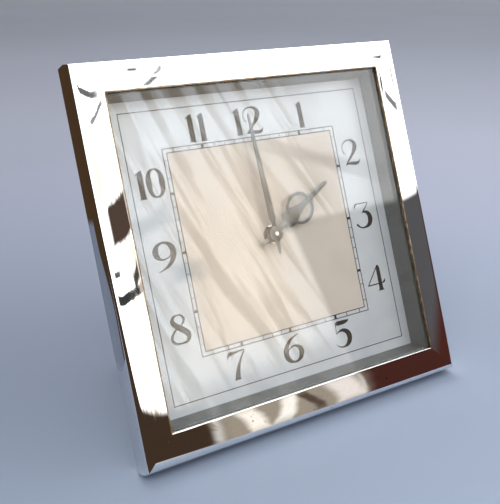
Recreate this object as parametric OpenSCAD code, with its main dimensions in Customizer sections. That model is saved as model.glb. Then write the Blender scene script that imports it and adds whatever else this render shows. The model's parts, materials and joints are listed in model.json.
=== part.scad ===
// Square mantel clock: a chrome frame that leans back on a wire stand, with a spring-driven movement behind.
// Inside stance(), X is to the right, Y is depth into the case and Z is up along the dial.
// The row frame has +Z up, the dial facing -Y, and its origin under the middle of the clock on the table.

/* [Case] */
// Outer width and height of the chrome frame
case_w = 131.3; // [129:0.1:134]
// Depth of the frame's side wall
case_depth = 9.6; // [9.2:0.1:10]
// Width of the square opening inside the frame
window_w = 109.7; // [108:0.1:110]
// How far the inner lip stands in front of the frame's outer edge
lip_proud = 0.87; // [0.7:0.01:1]
// Thickness of the pressed sheet
sheet_t = 0.9; // [0.7:0.1:1]

/* [Stance] */
// Angle that the case leans back from upright
lean = 23.1; // [20:0.1:26]
// Horizontal distance from the stand's hinge back to its foot
stand_reach = 18.6; // [16:0.1:22]
// Diameter of the stand's wire
wire_d = 3; // [2.6:0.1:3]

/* [Dial] */
// Depth of the dial's face behind the frame's outer edge
dial_depth = 8.6; // [8.4:0.1:8.7]
// Thickness of the glass
glass_t = 1.95; // [1.8:0.05:2]
// Minute hand's angle, clockwise from twelve
minute_angle = -2.4; // [-180:0.1:180]
// Hour hand's angle, clockwise from twelve
hour_angle = 60.2; // [0:0.1:360]
// Length of the minute hand from its centre
minute_hand_len = 44; // [40:0.5:46]
// Length of the hour hand from its centre
hour_hand_len = 30.8; // [28:0.1:32]

/* [Movement] */
// Radius of the two movement plates
plate_r = 36.4; // [36:0.1:36.8]
// Inner radius of the round rear cover
cover_r = 37.8; // [37.5:0.1:38.5]
// Depth of the rear cover's outside face
cover_back = 33; // [33:0.1:34]
// Gear module of the motion work's first pair
motion_module = 0.30; // [0.29:0.01:0.31]
// Gear module of the barrel and the centre pinion
barrel_module = 0.45; // [0.44:0.01:0.45]
// Gear module of the centre wheel and the third pinion
centre_module = 0.40; // [0.39:0.01:0.40]
// Gear module of the third wheel and the fourth pinion
third_module = 0.34; // [0.33:0.01:0.34]
// Gear module of the fourth wheel and the escape pinion
fourth_module = 0.26; // [0.25:0.01:0.26]

/* [Hidden] */
$fn = 48;

// Frame profile: half widths are measured from the middle of the clock
case_half = case_w / 2;
window_half = window_w / 2;
face_r = 75;
face_end = case_half - 2.25;
face_tilt = asin((face_end - window_half) / face_r);
roll_r = 3;
roll_tilt = 35;
edge_r = 0.6;
edge_tilt = 76;
wall_start = 3;
rear_edge_r = 1.2;
flange_w = 3;
blend_steps = 8;

// Depths of the stack behind the frame
glass_y = 0.06;
glass_half = window_half + 1.15;
ring_y = glass_y + glass_t + 0.04;
dial_t = 0.5;
dial_back = dial_depth + dial_t;
back_y = case_depth + 0.05;
back_t = 0.8;
back_rear = back_y + back_t;
back_half = case_half - 2.15;
block_size = 5.4;
block_at = 59.7;
pad_at = 38;
movement_hole_r = 29;

// Rear cover
cover_t = 0.7;
cover_out = cover_r + cover_t;
cover_flange_r = 43;
cover_flange_t = 0.8;
cover_screw_r = 40.75;
cover_screw_angles = [30 : 120 : 270];

// Movement plates
front_y = 13;
rear_y = 26.5;
plate_t = 1.5;
front_inner = front_y + plate_t;
rear_outer = rear_y + plate_t;
pivot_r = 0.4;
pivot_hole_r = 0.44;
arbor_r = 0.6;
pillar_ring_r = 33.5;
pillar_angles = [20, 100, 165, 290];
spacer_ring_r = 32;
spacer_angles = [60, 150, 270];

// Depths at which the moving pieces start, front to back
hand_y = 5;
hand_t = 0.4;
hour_hand_y = 6.3;
hour_wheel_y = 10.2;
cannon_y = 11.4;
barrel_y = 15.2;
escape_y = 16;
third_y = 18;
balance_y = 18;
fourth_y = 20;
spring_y = 21.5;
centre_y = 22;
cock_y = rear_outer + 0.02;
cock_t = 1.2;
ratchet_y = rear_outer + 0.3;
ratchet_r = 5.2;
barrel_r = 15;
wheel_bore_r = arbor_r + 0.02;
key_y = cover_back + 7.5;

// Tooth counts
cannon_teeth = 12;
minute_teeth = 36;
minute_leaves = 10;
hour_teeth = 40;
barrel_teeth = 72;
centre_leaves = 12;
centre_teeth = 64;
third_teeth = 60;
fourth_teeth = 64;
leaves = 8;
ratchet_teeth = 24;

// Centres of the wheels in the plane of the dial, each placed from the wheel that drives it
hour_module = motion_module * (cannon_teeth + minute_teeth) / (minute_leaves + hour_teeth);
minute_dir = 20;
barrel_dir = 225;
third_dir = 80;
fourth_dir = -30;
escape_dir = -75;
pallet_dir = -70;
balance_dir = -79.7;
centre_at = [0, 0];
minute_at = along(centre_at, motion_module * (cannon_teeth + minute_teeth) / 2, minute_dir);
barrel_at = along(centre_at, barrel_module * (barrel_teeth + centre_leaves) / 2, barrel_dir);
third_at = along(centre_at, centre_module * (centre_teeth + leaves) / 2, third_dir);
fourth_at = along(third_at, third_module * (third_teeth + leaves) / 2, fourth_dir);
escape_at = along(fourth_at, fourth_module * (fourth_teeth + leaves) / 2, escape_dir);
pallet_at = along(escape_at, 5.6, pallet_dir);
balance_at = along(pallet_at, 7.5, balance_dir);
train_places = [third_at, fourth_at, escape_at, pallet_at];
hair_stud_at = along(balance_at, 4.6, 0);
cock_dir = -48;
cock_reach = 9.6;
cock_foot_at = along(balance_at, cock_reach, cock_dir);
click_at = along(barrel_at, 8.5, 120);
regulator_dir = 131;
regulator_r = 8;
regulator_swing = 15;

// Stance: the frame's rear bottom edge and the stand's feet touch the table
front_half = face_end + roll_r * (sin(lean) - sin(face_tilt));
front_depth = face_drop(face_end) + roll_r * (cos(face_tilt) - cos(lean));
hinge_depth = 13;
hinge_height = 38;
wire_r = wire_d / 2;
foot_r = 2.6;
bar_height = 2.2;
leg_x = 46;
leg_bend_r = 8;
pin_bend_r = 3;
pin_end_x = 52.2;
ear_x = 49.2;
ear_t = 1.2;
ear_r = hinge_depth - back_rear;
bracket_t = 0.8;
bracket_in = 40.6;
rivets_right = [[46, 44.6], [42.6, 31]];
rivet_places = [for (x = [-1, 1], p = rivets_right) [x * p[0], p[1]]];
stop_along = 6.5;
stop_t = 1;
stance_z = (case_depth - rear_edge_r) * sin(lean) + (case_half - rear_edge_r) * cos(lean) + rear_edge_r;
front_most = front_depth * cos(lean) - front_half * sin(lean);
hinge_raw_y = hinge_depth * cos(lean) + hinge_height * sin(lean);
stance_y = -(front_most + hinge_raw_y + stand_reach + foot_r) / 2;
hinge_y = hinge_raw_y + stance_y;
hinge_z = -hinge_depth * sin(lean) + hinge_height * cos(lean) + stance_z;
leg_drop = hinge_z - bar_height;
leg_len = sqrt(stand_reach * stand_reach + leg_drop * leg_drop);
leg_tilt = atan2(stand_reach, leg_drop);
open_angle = leg_tilt + lean;

function along(p, r, a) = p + r * [cos(a), sin(a)];
function face_drop(h) = -lip_proud + face_r - sqrt(face_r * face_r - pow(h - window_half, 2));
function arc(c, r, a0, a1, n) =
    [for (i = [0 : n]) let (a = a0 + (a1 - a0) * i / n) c + r * [sin(a), -cos(a)]];

// One tooth of module m centred on angle a: its root, pitch circle and tip on either side
function tooth(m, n, share, a) =
    let (r = m * n / 2, h = share * 180 / n)
    [for (s = [[r - 1.25 * m, -1.15 * h], [r, -h], [r + 0.95 * m, -0.42 * h],
               [r + 0.95 * m, 0.42 * h], [r, h], [r - 1.25 * m, 1.15 * h]])
        s[0] * [cos(a + s[1]), sin(a + s[1])]];
function gear_points(m, n, share, phase) =
    [for (k = [0 : n - 1]) each tooth(m, n, share, phase + k * 360 / n)];
function saw_points(r_in, r_out, n, phase) =
    [for (k = [0 : n - 1]) let (a = phase + k * 360 / n, b = a + 324 / n)
        each [r_in * [cos(a), sin(a)], r_out * [cos(b), sin(b)]]];
// A flat coil of thickness t: its outer side walked outwards for side 1, its inner side back for side -1
function spiral(r0, r1, turns, t, side) =
    [for (i = [0 : turns * 18])
        let (f = side > 0 ? i / (turns * 18) : 1 - i / (turns * 18), r = r0 + (r1 - r0) * f + side * t / 2)
        r * [cos(360 * turns * f), sin(360 * turns * f)]];

module stance() {
    translate([0, stance_y, stance_z]) rotate([-lean, 0, 0]) children();
}

// A flat drawing, upright as seen from the front, made solid from depth y0 to y1
module slab(y0, y1) {
    translate([0, y1, 0]) rotate([90, 0, 0]) linear_extrude(y1 - y0) children();
}

module disc(p, r, y0, y1) {
    slab(y0, y1) translate(p) circle(r);
}

module ring(p, r_out, r_in, y0, y1) {
    slab(y0, y1) translate(p) difference() {
        circle(r_out);
        circle(r_in);
    }
}

module at_corners(d) {
    for (x = [-1, 1], z = [-1, 1]) translate([x * d, 0, z * d]) children();
}

// Four mitred rails from a profile of [half width, depth] points
module square_frame(profile, half) {
    for (turn = [0 : 90 : 270]) rotate([0, turn, 0]) intersection() {
        translate([-half - 1, 0, 0]) rotate([90, 0, 90]) linear_extrude(2 * half + 2)
            polygon([for (q = profile) [q[1], q[0]]]);
        slab(-3, case_depth + 3) polygon([[0, 0], [half + 2, half + 2], [-half - 2, half + 2]]);
    }
}

// A slotted screw: head from y1 to y1 + head_t, shank from y0 to y1
module screw(p, shank_r, head_r, y0, y1, head_t) {
    disc(p, shank_r, y0, y1);
    difference() {
        disc(p, head_r, y1, y1 + head_t);
        translate([p[0] - head_r - 1, y1 + head_t * 0.5, p[1] - 0.25]) cube([2 * head_r + 2, 2, 0.5]);
    }
}

module pivoted_arbor(p, r) {
    disc(p, pivot_r, front_y + 0.1, front_inner + 0.2);
    disc(p, r, front_inner + 0.2, rear_y - 0.2);
    disc(p, pivot_r, rear_y - 0.2, rear_outer - 0.1);
}

module gear(p, m, n, share, phase, y0, y1) {
    slab(y0, y1) translate(p) polygon(gear_points(m, n, share, phase));
}

// A train wheel: rim with teeth, five round lightening holes and a bore
module train_wheel(p, m, n, phase, bore_r, y0, y1) {
    rim = m * n / 2 - 2.5 * m;
    hole = rim * 0.3;
    slab(y0, y1) translate(p) difference() {
        polygon(gear_points(m, n, 0.4, phase));
        circle(bore_r);
        for (k = [0 : 4]) rotate(k * 72) translate([rim * 0.62, 0]) circle(hole);
    }
}

module bezel() {
    wall_x = case_half;
    roll_c = [face_end, face_drop(face_end)] - roll_r * [sin(face_tilt), -cos(face_tilt)];
    edge_c = roll_c + (roll_r - edge_r) * [sin(roll_tilt), -cos(roll_tilt)];
    rear_c = [wall_x - rear_edge_r, case_depth - rear_edge_r];
    face_c = [window_half, -lip_proud + face_r];
    outside = concat(
        arc(face_c, face_r, 0, face_tilt, 10),
        arc(roll_c, roll_r, face_tilt, roll_tilt, blend_steps),
        arc(edge_c, edge_r, roll_tilt, edge_tilt, 4),
        [[wall_x, wall_start]],
        arc(rear_c, rear_edge_r, 90, 180, blend_steps),
        [[wall_x - flange_w, case_depth]]);
    inside = concat(
        [[wall_x - flange_w, case_depth - sheet_t],
         [wall_x - sheet_t - 0.3, case_depth - sheet_t],
         [wall_x - sheet_t, case_depth - sheet_t - 0.3],
         [wall_x - sheet_t, wall_start + 0.2],
         [wall_x - 1.6, 1.4]],
        arc(face_c, face_r - sheet_t, face_tilt, 0, 6));
    color("silver") stance() square_frame(concat(outside, inside), case_half);
}

module glass_pane() {
    color("lightcyan", 0.35) stance()
        slab(glass_y, glass_y + glass_t) square(2 * glass_half, center = true);
}

module sight_ring() {
    top = window_half - 0.15;
    foot = window_half - 1.95;
    color("gray") stance() square_frame(
        [[top, ring_y], [top + 0.6, ring_y], [foot + 0.75, dial_depth - 0.6], [glass_half, dial_depth - 0.6],
         [glass_half, dial_depth - 0.03], [foot, dial_depth - 0.03]], glass_half);
}

module dial_plate() {
    color("aliceblue") stance() slab(dial_depth, dial_back) difference() {
        square(2 * glass_half, center = true);
        circle(2.4);
    }
}

module dial_grommet() {
    color("silver") stance() {
        ring(centre_at, 3.25, 2.1, dial_depth - 0.25, dial_depth - 0.01);
        ring(centre_at, 2.38, 2.1, dial_depth - 0.1, dial_back + 0.2);
    }
}

module dial_pads() {
    color("dimgray") stance() at_corners(pad_at)
        translate([-5, dial_back + 0.01, -5]) cube([10, back_y - dial_back - 0.02, 10]);
}

module corner_blocks() {
    color("dimgray") stance() at_corners(block_at) difference() {
        translate([-block_size / 2, 0.9, -block_size / 2]) cube([block_size, back_y - 0.92, block_size]);
        disc(centre_at, 0.9, 3, back_y + 1);
    }
}

module back_plate() {
    color("slategray") stance() slab(back_y, back_rear) difference() {
        square(2 * back_half, center = true);
        circle(movement_hole_r);
        for (x = [-1, 1], z = [-1, 1]) translate([x, z] * block_at) circle(1.1);
        for (a = spacer_angles) translate(along(centre_at, spacer_ring_r, a)) circle(1);
        for (a = cover_screw_angles) translate(along(centre_at, cover_screw_r, a)) circle(0.95);
        for (p = rivet_places) translate(p) circle(0.95);
    }
}

module back_plate_screws() {
    color("silver") stance() for (x = [-1, 1], z = [-1, 1])
        screw([x, z] * block_at, 0.85, 2.2, 4, back_rear, 0.95);
}

module rear_cover() {
    edge = 2;
    shell = concat([[cover_flange_r, back_rear], [cover_flange_r, back_rear + cover_flange_t],
                    [cover_out, back_rear + cover_flange_t]],
                   arc([cover_out - edge, cover_back - edge], edge, 90, 180, 6),
                   [[0, cover_back], [0, cover_back - cover_t], [cover_r - edge, cover_back - cover_t],
                    [cover_r, cover_back - cover_t - edge], [cover_r, back_rear]]);
    color([0.16, 0.16, 0.17]) stance() difference() {
        rotate([-90, 0, 0]) rotate_extrude($fn = 96) polygon(shell);
        disc(centre_at, 1.5, cover_back - 2, cover_back + 1);
        disc(barrel_at, 2.8, cover_back - 2, cover_back + 1);
        regulator_slot();
        for (a = cover_screw_angles)
            disc(along(centre_at, cover_screw_r, a), 1, back_rear - 1, back_rear + 2);
    }
}

// The curved slot in the rear cover that the regulator's pin stands in
module regulator_slot() {
    reach = regulator_swing + 4;
    slab(cover_back - 2, cover_back + 1) translate(balance_at) intersection() {
        difference() {
            circle(regulator_r + 0.9);
            circle(regulator_r - 0.9);
        }
        polygon([[0, 0], 14 * [cos(regulator_dir - reach), sin(regulator_dir - reach)],
                 14 * [cos(regulator_dir + reach), sin(regulator_dir + reach)]]);
    }
}

module rear_cover_screws() {
    head_y = back_rear + cover_flange_t;
    color("silver") stance() for (a = cover_screw_angles)
        screw(along(centre_at, cover_screw_r, a), 0.9, 1.8, dial_back + 0.2, head_y, 0.85);
}

// Stand: two hinge brackets on the back plate and a wire leg that opens to a stop
module stand_hinges() {
    base_y = back_rear;
    out = [sin(open_angle), -cos(open_angle)];
    behind = [cos(open_angle), sin(open_angle)];
    stop_c = [hinge_depth, hinge_height] + stop_along * out + (wire_r + 0.05 + stop_t / 2) * behind;
    ear_out = ear_x + ear_t;
    color("silver") stance() for (side = [0, 1]) mirror([side, 0, 0]) difference() {
        union() {
            translate([bracket_in, base_y, 27]) cube([ear_out - bracket_in, bracket_t, 21]);
            translate([ear_x, 0, 0]) rotate([90, 0, 90]) linear_extrude(ear_t) {
                translate([hinge_depth, hinge_height]) circle(ear_r);
                translate([base_y, hinge_height - ear_r]) square([ear_r, 2 * ear_r]);
                polygon([[base_y, 29], [base_y, 36], [hinge_depth, hinge_height],
                         stop_c + 1.6 * behind - 1.2 * out,
                         stop_c + 1.6 * behind + 1.2 * out,
                         stop_c - 1.2 * behind + 1.2 * out]);
            }
            translate([leg_x - 1.6, stop_c[0], stop_c[1]]) rotate([open_angle, 0, 0])
                translate([0, -stop_t / 2, -1.2]) cube([ear_out - leg_x + 1.6, stop_t, 2.4]);
        }
        translate([ear_x - 1, hinge_depth, hinge_height]) rotate([0, 90, 0])
            cylinder(r = wire_r + 0.06, h = 4);
        for (p = rivets_right) disc(p, 0.95, base_y - 1, base_y + 2);
    }
}

module stand_rivets() {
    color("gainsboro") stance() for (p = rivet_places) {
        disc(p, 1.4, dial_back + 0.15, back_y);
        disc(p, 0.93, back_y, back_rear + bracket_t);
        disc(p, 1.4, back_rear + bracket_t, back_rear + bracket_t + 0.6);
    }
}

module at_hinge() {
    translate([0, hinge_y, hinge_z]) rotate([leg_tilt, 0, 0]) children();
}

module wire_bend(r, start) {
    rotate([90, 0, 0]) rotate([0, 0, start]) rotate_extrude(angle = 90) translate([r, 0]) circle(wire_r);
}

module stand_wire() {
    leg_straight = leg_len - leg_bend_r - pin_bend_r;
    pin_x = leg_x + pin_bend_r;
    color("silver") at_hinge() {
        for (side = [0, 1]) mirror([side, 0, 0]) {
            translate([leg_x, 0, -leg_len + leg_bend_r]) cylinder(r = wire_r, h = leg_straight);
            translate([pin_x, 0, -pin_bend_r]) wire_bend(pin_bend_r, 90);
            translate([pin_x, 0, 0]) rotate([0, 90, 0]) cylinder(r = wire_r, h = pin_end_x - pin_x);
            translate([leg_x - leg_bend_r, 0, -leg_len + leg_bend_r]) wire_bend(leg_bend_r, 270);
        }
        translate([-leg_x + leg_bend_r, 0, -leg_len]) rotate([0, 90, 0])
            cylinder(r = wire_r, h = 2 * (leg_x - leg_bend_r));
    }
}

module stand_feet() {
    color([0.12, 0.12, 0.12]) translate([0, hinge_y + stand_reach, bar_height]) difference() {
        for (x = [-34, 22]) translate([x, 0, 0]) rotate([0, 90, 0]) difference() {
            cylinder(r = foot_r, h = 12);
            translate([0, 0, -1]) cylinder(r = wire_r + 0.01, h = 14);
        }
        translate([-50, -5, -bar_height - 10]) cube([100, 10, 10]);
    }
}

// Movement frame
module movement_spacers() {
    color("goldenrod") stance() for (a = spacer_angles)
        ring(along(centre_at, spacer_ring_r, a), 2, 1, back_rear + 0.01, front_y - 0.01);
}

module movement_screws() {
    color("silver") stance() for (a = spacer_angles) {
        p = along(centre_at, spacer_ring_r, a);
        disc(p, 2.2, dial_back + 0.1, back_y);
        disc(p, 0.9, back_y, front_inner - 0.2);
    }
}

module front_plate() {
    color("goldenrod") stance() slab(front_y, front_inner) difference() {
        circle(plate_r);
        circle(0.8);
        for (p = concat(train_places, [balance_at])) translate(p) circle(pivot_hole_r);
        translate(barrel_at) circle(0.95);
        translate(minute_at) circle(0.56);
        for (a = spacer_angles) translate(along(centre_at, spacer_ring_r, a)) circle(0.92);
        for (a = pillar_angles) translate(along(centre_at, pillar_ring_r, a)) circle(1.22);
    }
}

module rear_plate() {
    color("goldenrod") stance() slab(rear_y, rear_outer) difference() {
        circle(plate_r);
        circle(0.78);
        for (p = train_places) translate(p) circle(pivot_hole_r);
        translate(balance_at) circle(1.5);
        translate(hair_stud_at) circle(0.42);
        translate(barrel_at) circle(1.56);
        translate(cock_foot_at) circle(0.82);
        translate(click_at) circle(0.72);
        for (a = pillar_angles) translate(along(centre_at, pillar_ring_r, a)) circle(0.95);
    }
}

module plate_pillars() {
    color("goldenrod") stance() for (a = pillar_angles) {
        p = along(centre_at, pillar_ring_r, a);
        disc(p, 1.2, front_y + 0.1, front_inner);
        difference() {
            disc(p, 2, front_inner, rear_y - 0.01);
            disc(p, 0.85, rear_y - 5, rear_y);
        }
    }
}

module plate_screws() {
    color("silver") stance() for (a = pillar_angles)
        screw(along(centre_at, pillar_ring_r, a), 0.8, 2, rear_y - 4.6, rear_outer + 0.01, 1);
}

module minute_wheel_stud() {
    color("silver") stance() disc(minute_at, 0.54, hour_wheel_y - 0.25, front_inner - 0.1);
}

// Balance bridge, regulator, hairspring
module balance_cock() {
    color("goldenrod") stance() difference() {
        union() {
            slab(cock_y, cock_y + cock_t) {
                translate(balance_at) circle(3.4);
                translate(cock_foot_at) circle(3);
                translate(balance_at) rotate(cock_dir) translate([0, -2.2]) square([cock_reach, 4.4]);
            }
            disc(balance_at, 2, cock_y + cock_t, cock_y + cock_t + 0.8);
        }
        disc(balance_at, pivot_hole_r, cock_y - 1, cock_y + 0.9);
        disc(cock_foot_at, 0.85, cock_y - 1, cock_y + 2);
    }
}

module balance_cock_screw() {
    color("silver") stance() screw(cock_foot_at, 0.8, 1.8, rear_y + 0.2, cock_y + cock_t, 0.9);
}

module hairspring_stud() {
    color("silver") stance() disc(hair_stud_at, 0.4, spring_y - 0.2, rear_outer - 0.1);
}

module hairspring() {
    color("steelblue") stance() slab(spring_y, spring_y + 0.8) translate(balance_at)
        polygon(concat(spiral(1.2, 4.1, 5, 0.12, 1), spiral(1.2, 4.1, 5, 0.12, -1)));
}

module regulator_lever() {
    y0 = cock_y + cock_t + 0.05;
    tip = along(balance_at, regulator_r, regulator_dir);
    color("silver") stance() {
        slab(y0, y0 + 0.6) difference() {
            union() {
                translate(balance_at) circle(3.2);
                translate(balance_at) rotate(regulator_dir) translate([0, -0.7]) square([regulator_r, 1.4]);
                translate(tip) circle(0.9);
            }
            translate(balance_at) circle(2.06);
        }
        disc(tip, 0.5, y0 + 0.5, cover_back + 1);
    }
}

// Ratchet and click, outside the rear plate
module click_screw() {
    color("silver") stance() {
        disc(click_at, 0.7, rear_y + 0.2, ratchet_y + 0.85);
        disc(click_at, 1.5, ratchet_y + 0.85, ratchet_y + 1.5);
    }
}

module click() {
    tip = along(barrel_at, ratchet_r + 0.25, 95) - click_at;
    color("silver") stance() slab(ratchet_y, ratchet_y + 0.8) translate(click_at) difference() {
        union() {
            circle(1.7);
            polygon([[-0.6, -1.55], tip, tip + [0.3, 0.9], [0.6, 1.55]]);
            translate([-3.4, -0.6]) square([2.4, 1.2]);
        }
        circle(0.76);
    }
}

module click_spring() {
    foot = click_at + [-8.5, -5];
    color("steelblue") stance() {
        slab(ratchet_y, ratchet_y + 0.7) {
            translate(foot) circle(1.2);
            translate(foot) rotate(52) translate([0, -0.2]) square([5.6, 0.4]);
        }
        disc(foot, 0.6, rear_outer + 0.01, ratchet_y);
    }
}

// Hand-driving body: centre arbor with the cannon pinion, minute hand and setting knob
module centre_arbor() {
    color("silver") stance() disc(centre_at, 0.7, hand_y - 0.5, cover_back + 4.5);
}

module cannon_pinion() {
    color("goldenrod") stance() difference() {
        union() {
            disc(centre_at, 1.2, hand_y + hand_t + 0.02, cannon_y + 1.2);
            gear(centre_at, motion_module, cannon_teeth, 0.3, minute_dir, cannon_y, cannon_y + 1.2);
        }
        disc(centre_at, 0.72, 4, 14);
    }
}

module hand_set_knob() {
    color([0.85, 0.7, 0.35]) stance() difference() {
        union() {
            disc(centre_at, 1.25, cover_back - 2.5, cover_back + 1.2);
            slab(cover_back + 1.2, cover_back + 5.5) difference() {
                circle(4.5);
                for (k = [0 : 23]) rotate(k * 15) translate([4.62, 0]) circle(0.35, $fn = 16);
            }
        }
        disc(centre_at, 0.72, cover_back - 3, cover_back + 4.6);
    }
}

// A hand's outline from [distance along the hand, half width] points
module hand_outline(points) {
    polygon(concat([for (q = points) [-q[1], q[0]]],
                   [for (i = [len(points) - 1 : -1 : 0]) [points[i][1], points[i][0]]]));
}

module minute_hand() {
    color("darkslategray") stance() slab(hand_y, hand_y + hand_t) rotate(-minute_angle) difference() {
        union() {
            hand_outline([[-7.3, 0.3], [-2, 0.8], [4.8, 0.8], [5.4, 1.3], [minute_hand_len - 0.5, 0.5],
                          [minute_hand_len, 0.25]]);
            circle(2.85);
        }
        circle(0.73);
    }
}

module hour_hand() {
    ring_at = 14.9;
    leaf = concat([for (i = [0 : 8]) [6.2 + 0.85 * (1 - cos(i * 22.5)), 0.9 + 2.3 * sin(i * 11.25)]],
                  [for (i = [1 : 8]) [7.9 + 9.1 * i / 8, 1 + 2.2 * pow(1 - i / 8, 1.6)]]);
    color("darkslategray") stance()
    slab(hour_hand_y, hour_hand_y + hand_t) rotate(-hour_angle) difference() {
        union() {
            difference() {
                union() {
                    hand_outline([[-6.5, 0.5], [-2, 0.8], [7, 0.9]]);
                    hand_outline(leaf);
                    translate([0, ring_at]) circle(5.95);
                }
                translate([0, ring_at]) circle(4.8);
            }
            hand_outline([[7.5, 2.8], [11.5, 2.4], [17, 1], [20.4, 0.9], [21, 1.3], [22, 0.8],
                          [hour_hand_len - 0.7, 0.7], [hour_hand_len, 0.3]]);
            circle(3);
        }
        circle(1.87);
    }
}

module hour_wheel() {
    color("goldenrod") stance() difference() {
        union() {
            gear(centre_at, hour_module, hour_teeth, 0.4, minute_dir + 180 / hour_teeth,
                 hour_wheel_y, hour_wheel_y + 0.8);
            disc(centre_at, 1.85, hour_hand_y - 0.1, hour_wheel_y + 0.8);
        }
        disc(centre_at, 1.27, 4, 14);
    }
}

module minute_wheel() {
    color("goldenrod") stance() slab(cannon_y + 0.1, cannon_y + 1.1) translate(minute_at) difference() {
        polygon(gear_points(motion_module, minute_teeth, 0.4, minute_dir + 180 + 180 / minute_teeth));
        circle(0.6);
    }
}

module minute_wheel_pinion() {
    color("goldenrod") stance()
    slab(hour_wheel_y - 0.15, cannon_y + 0.08) translate(minute_at) difference() {
        polygon(gear_points(hour_module, minute_leaves, 0.3, minute_dir + 180));
        circle(0.6);
    }
}

// Going train
module centre_wheel() {
    color("goldenrod") stance()
        train_wheel(centre_at, centre_module, centre_teeth, third_dir, 1.27, centre_y, centre_y + 0.8);
}

module centre_pinion() {
    color("silver") stance() difference() {
        union() {
            gear(centre_at, barrel_module, centre_leaves, 0.3, barrel_dir + 180 / centre_leaves,
                 barrel_y - 0.4, barrel_y + 1.4);
            disc(centre_at, 1.25, barrel_y - 0.4, rear_y - 0.7);
        }
        disc(centre_at, 0.76, 13, 27);
    }
}

module third_wheel() {
    color("goldenrod") stance()
        train_wheel(third_at, third_module, third_teeth, fourth_dir, wheel_bore_r, third_y, third_y + 0.7);
}

module third_arbor() {
    color("silver") stance() {
        pivoted_arbor(third_at, arbor_r);
        gear(third_at, centre_module, leaves, 0.3, third_dir + 180 + 180 / leaves,
             centre_y - 0.6, centre_y + 1.4);
    }
}

module fourth_wheel() {
    color("goldenrod") stance()
        train_wheel(fourth_at, fourth_module, fourth_teeth, escape_dir, wheel_bore_r,
                    fourth_y, fourth_y + 0.6);
}

module fourth_arbor() {
    color("silver") stance() {
        pivoted_arbor(fourth_at, arbor_r);
        gear(fourth_at, third_module, leaves, 0.3, fourth_dir + 180 + 180 / leaves,
             third_y - 0.6, third_y + 1.3);
    }
}

module escape_wheel() {
    color("goldenrod") stance() slab(escape_y, escape_y + 0.5) translate(escape_at) difference() {
        polygon(saw_points(3.1, 4.2, 15, 0));
        circle(wheel_bore_r);
    }
}

module escape_arbor() {
    color("silver") stance() {
        pivoted_arbor(escape_at, arbor_r);
        gear(escape_at, fourth_module, leaves, 0.3, escape_dir + 180 + 180 / leaves,
             fourth_y - 0.6, fourth_y + 1.2);
    }
}

module pallet_lever() {
    pin_reach = 3.6;
    pin_spread = 60;
    toward_escape = pallet_dir + 180;
    color("silver") stance() slab(escape_y, escape_y + 0.5) translate(pallet_at) difference() {
        union() {
            circle(1.3);
            for (s = [-1, 1]) rotate(toward_escape + s * pin_spread) {
                translate([0, -0.3]) square([pin_reach, 0.6]);
                translate([pin_reach, 0]) circle(0.3);
            }
            rotate(balance_dir) {
                translate([0, -0.35]) square([4.4, 0.7]);
                for (s = [-1, 1]) translate([4, s * 0.6 - 0.2]) square([1.2, 0.4]);
                translate([3.8, -0.8]) square([0.6, 1.6]);
            }
        }
        circle(0.52);
    }
}

module pallet_arbor() {
    color("silver") stance() pivoted_arbor(pallet_at, 0.5);
}

module balance_wheel() {
    color("goldenrod") stance() slab(balance_y, balance_y + 1) translate(balance_at) difference() {
        union() {
            difference() {
                circle(6.5);
                circle(5.6);
            }
            square([11.6, 1.2], center = true);
            circle(1.3);
        }
        circle(wheel_bore_r);
    }
}

module balance_staff() {
    color("silver") stance() {
        disc(balance_at, pivot_r, front_y + 0.1, front_inner + 0.2);
        disc(balance_at, arbor_r, front_inner + 0.2, rear_y + 0.3);
        disc(balance_at, 1.6, escape_y + 0.9, escape_y + 1.4);
        disc(along(balance_at, 1.2, balance_dir + 180), 0.25, escape_y, escape_y + 1);
        disc(balance_at, 0.95, spring_y - 0.1, spring_y + 0.9);
        disc(balance_at, pivot_r, rear_y + 0.3, cock_y + 0.8);
    }
}

// Barrel, mainspring and winding arbor
module barrel_drum() {
    color("goldenrod") stance() difference() {
        union() {
            gear(barrel_at, barrel_module, barrel_teeth, 0.4, barrel_dir + 180, barrel_y, barrel_y + 1);
            disc(barrel_at, barrel_r, barrel_y + 1, barrel_y + 5.8);
        }
        disc(barrel_at, barrel_r - 0.6, barrel_y + 1.2, barrel_y + 7);
        disc(barrel_at, 1.56, barrel_y - 1, barrel_y + 7);
    }
}

module barrel_cover() {
    color("goldenrod") stance() ring(barrel_at, barrel_r, 1.56, barrel_y + 5.81, barrel_y + 6.3);
}

module mainspring() {
    color("steelblue") stance() slab(barrel_y + 1.4, barrel_y + 5.5) translate(barrel_at)
        polygon(concat(spiral(5, barrel_r - 1, 7, 0.35, 1), spiral(5, barrel_r - 1, 7, 0.35, -1)));
}

module barrel_arbor() {
    color("silver") stance() {
        disc(barrel_at, 0.9, front_y + 0.1, front_inner + 0.3);
        disc(barrel_at, 1.5, front_inner + 0.3, ratchet_y + 1);
        disc(barrel_at, 3.5, barrel_y + 1.5, barrel_y + 5.4);
        disc(barrel_at, 1.2, ratchet_y + 1, cover_back + 4);
    }
}

module ratchet_wheel() {
    color("silver") stance() slab(ratchet_y, ratchet_y + 0.8) translate(barrel_at) difference() {
        polygon(saw_points(4.6, ratchet_r, ratchet_teeth, 0));
        circle(1.52);
    }
}

module winding_key() {
    color([0.85, 0.7, 0.35]) stance() difference() {
        union() {
            disc(barrel_at, 2.3, cover_back - 1.2, cover_back + 8);
            for (s = [-1, 1]) translate([barrel_at[0] + s * 4.9, key_y, barrel_at[1] - 0.6]) difference() {
                cylinder(r = 4.2, h = 1.2);
                translate([0, 0, -1]) cylinder(r = 2.2, h = 4);
            }
        }
        disc(barrel_at, 1.22, cover_back - 2, cover_back + 4.2);
    }
}

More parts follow.
